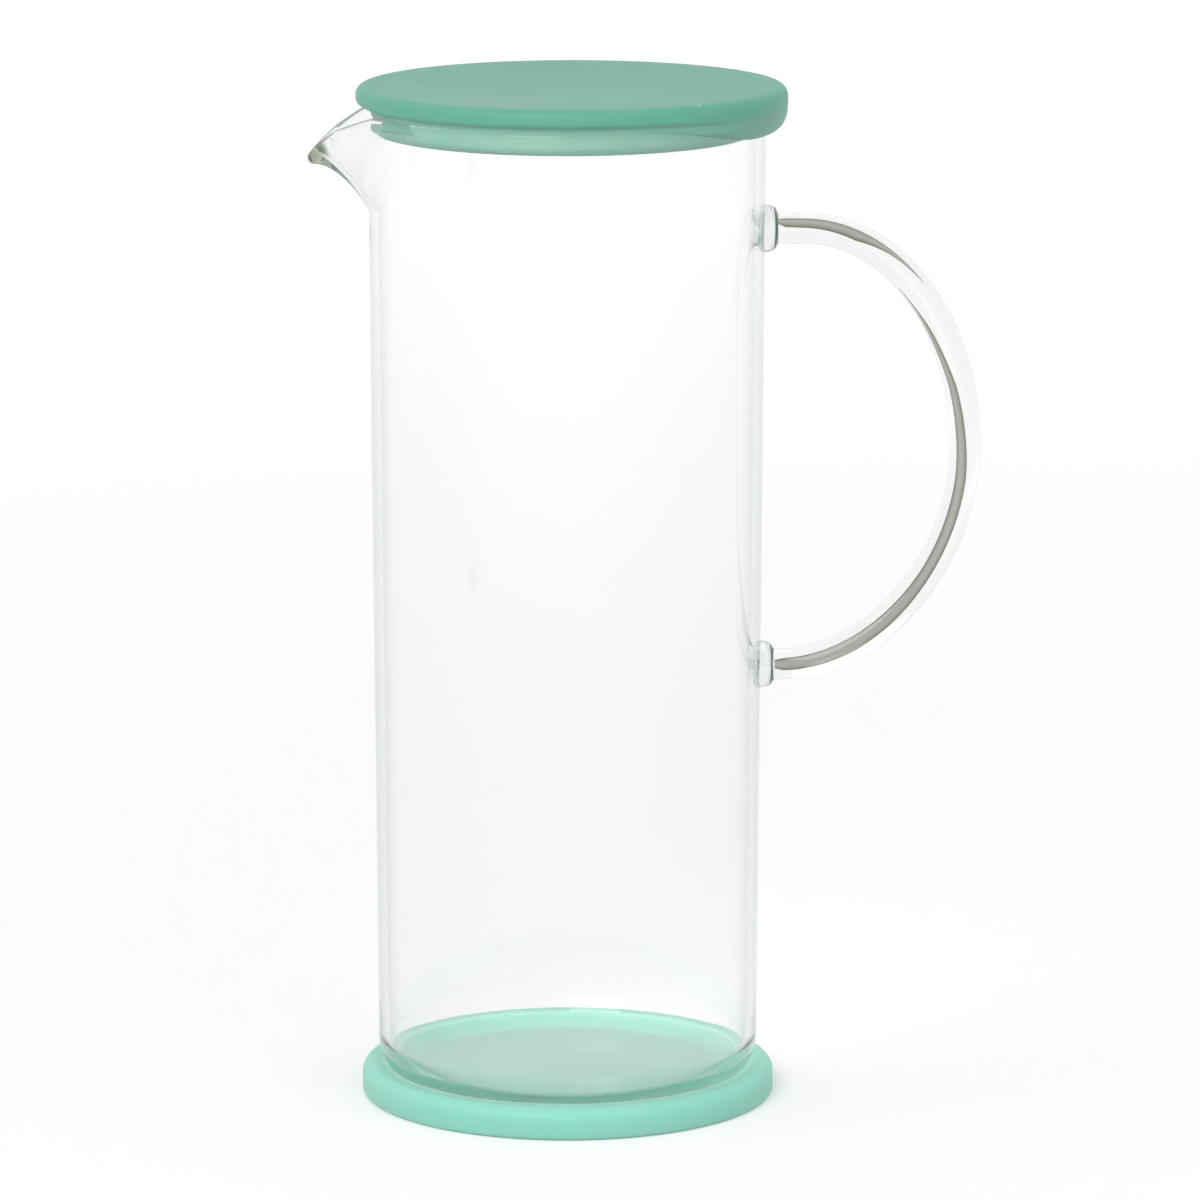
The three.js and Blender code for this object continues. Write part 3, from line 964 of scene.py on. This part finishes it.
def inside_of_lid(pulled, free):
    """From the axis under the web, down the plug, up its outside and over the rim, where it is in reach."""
    rim_round = GLASS_WALL / 2 + mix(PLUG_GAP, -CONTACT, min(1, pulled / PLUG_PRESS))
    grip = rim_radius - rim_round
    plug_inside = grip - PLUG_WALL
    plug_bottom = lid_low.z
    web = lid_top - LID_DISH - LID_WEB
    inner, outer = PLUG_INNER_ROUND, PLUG_ROUND
    seat = (
        straight((grip, plug_bottom + outer), (grip, rim_centre), 4)
        + arc(rim_radius, rim_centre, rim_round, rim_round, 180, RIM_SEAT_END, 14)
    )
    top = (neck_radius(1), seat[-1][1])
    foot = (grip + PLUG_SWELL, plug_bottom + outer)
    loose = straight(foot, top, len(seat) - 1) + [top]
    corner = mix(grip, foot[0], free) - outer
    gripping = []
    for (seat_r, seat_z), (loose_r, loose_z) in zip(seat, loose):
        pressed_r = min(seat_r + pulled, neck_radius(free))
        gripping.append((mix(pressed_r, loose_r, free), mix(seat_z, loose_z, free)))
    return (
        straight((0, web), (plug_inside - inner, web), 5)
        + arc(plug_inside - inner, web - inner, inner, inner, 90, 0, 6)
        + arc(plug_inside + inner, plug_bottom + inner, inner, inner, 180, 270, 6)
        + arc(corner, plug_bottom + outer, outer, outer, -90, 0, 12)
        + gripping[1:]
    )


print("plug section:", len(inside_of_lid(0, 0)), "points")

# %% Lid
THUMB_SPREAD = math.radians(72)
THUMB_DROP = 4.9 * MM
THUMB_DROP_GROWTH = 1.25
THUMB_INSET = 0.10 * MM
THUMB_INSET_GROWTH = 2.2
THUMB_ROUND = 5.6 * MM
THUMB_ROUND_GROWTH = 2
THUMB_ROUND_WIDTH = 0.75
THUMB_INNER_ROUND = 0.5 * MM
THUMB_TOP_ROUND = 3.0 * MM
LEAST_ROUND = 0.03 * MM
DISH_POWER = 3
DISH_POINTS = 16
LID_COLUMNS = 280
LID_GATHER = 0.2


def ease(share):
    """Rises fast from 0 and settles at 1."""
    return math.sin(min(1, share) * math.pi / 2)


def top_of_lid(edge):
    """The dished top, from its edge to the axis."""
    shares = np.linspace(1, 0, DISH_POINTS)
    dips = LID_DISH * (0.5 + 0.5 * np.cos(math.pi * shares ** DISH_POWER))
    return [(edge * share, lid_top - dip) for share, dip in zip(shares, dips)]


def lid_section(angle):
    """Half a section of the lid at an angle from the handle."""
    share = math.cos(min(1, abs(angle) / THUMB_SPREAD) * math.pi / 2) ** 2
    hang = ease(THUMB_DROP_GROWTH * share)
    pulled = spout_pull(math.pi - abs(angle), 1.0)[0]
    free = min(1, max(0, pulled - PLUG_FOLLOW) / PLUG_FOLLOW)
    plug = inside_of_lid(pulled, free)
    seat = plug[-1][1]
    edge = lid_radius + lid_offset * math.cos(angle)
    neck_inside = neck_radius(free)
    neck = mix(neck_inside + NECK_WALL, edge - THUMB_INSET, ease(THUMB_INSET_GROWTH * share))
    bottom = seat - THUMB_DROP * hang
    small = LEAST_ROUND + THUMB_INNER_ROUND * share
    wide = (neck - neck_inside) * THUMB_ROUND_WIDTH
    tall = LEAST_ROUND + THUMB_ROUND * hang * min(1, THUMB_ROUND_GROWTH * share)
    ledge = (edge - neck) * LID_LEDGE
    top_edge = edge - LID_TOP_ROUND
    top_round = mix(LID_TOP_ROUND, THUMB_TOP_ROUND, share)
    return (
        plug
        + straight((neck_inside, seat), (neck_inside, bottom + small), 4)
        + arc(neck_inside + small / 2, bottom + small, small / 2, small, 180, 270, 4)
        + arc(neck - wide, bottom + tall, wide, tall, -90, 0, 10)
        + straight((neck, bottom + tall), (neck, lid_underside), 5)[1:]
        + arc(edge - ledge, lid_underside + LID_BOTTOM_ROUND, ledge, LID_BOTTOM_ROUND, -90, 0, 10)
        + arc(top_edge, lid_top - top_round, LID_TOP_ROUND, top_round, 0, 90, 10)
        + top_of_lid(top_edge)[1:]
    )


lid = turn("lid", lid_section, LID_COLUMNS, gather=LID_GATHER)
lid.data.materials.append(lid_silicone)
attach(lid, "lid")
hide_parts("silicone_lid")
lid.visible_shadow = False
print("lid:", len(lid.data.polygons), "faces")

# %% [markdown]
# ## Base
#
# The base is a shallow cup of the same silicone. Its bowl follows the rounded foot of the glass, and its
# outer edge is a soft round, so the pitcher stands on rubber and not on glass.

# %% Base
BASE_TOP_ROUND = 3.0 * MM
BASE_BOTTOM_ROUND = 1.2 * MM
BASE_RIM_ROUND = 0.8 * MM
BASE_COLUMNS = 180
base_radius = base_high.x
base_height = base_high.z


def base_profile():
    """From the axis under the base, round its edge and down the bowl to the axis."""
    floor_top = glass_bottom + CONTACT
    bowl = foot_top - floor_top
    bowl_radius = foot_radius - FOOT_CORNER
    top, bottom, rim = BASE_TOP_ROUND, BASE_BOTTOM_ROUND, BASE_RIM_ROUND
    bowl_end = math.degrees(math.asin((base_height - rim - foot_top) / bowl))
    bowl_edge = bowl_radius + bowl * math.cos(math.radians(bowl_end))
    return (
        straight((0, 0), (base_radius - bottom, 0), 6)
        + arc(base_radius - bottom, bottom, bottom, bottom, -90, 0, 8)
        + arc(base_radius - top, base_height - top, top, top, 0, 90, 10)
        + arc(bowl_edge + rim, base_height - rim, rim, rim, 90, 180, 6)
        + arc(bowl_radius, foot_top, bowl, bowl, bowl_end, -90, 14)[1:]
        + straight((bowl_radius, floor_top), (0, floor_top), 6)[1:]
        + [(0, floor_top)]
    )


base = turn("base", base_profile(), BASE_COLUMNS)
base.data.materials.append(base_silicone)
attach(base, "base")
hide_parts("base_coaster")
print("base:", len(base.data.polygons), "faces")
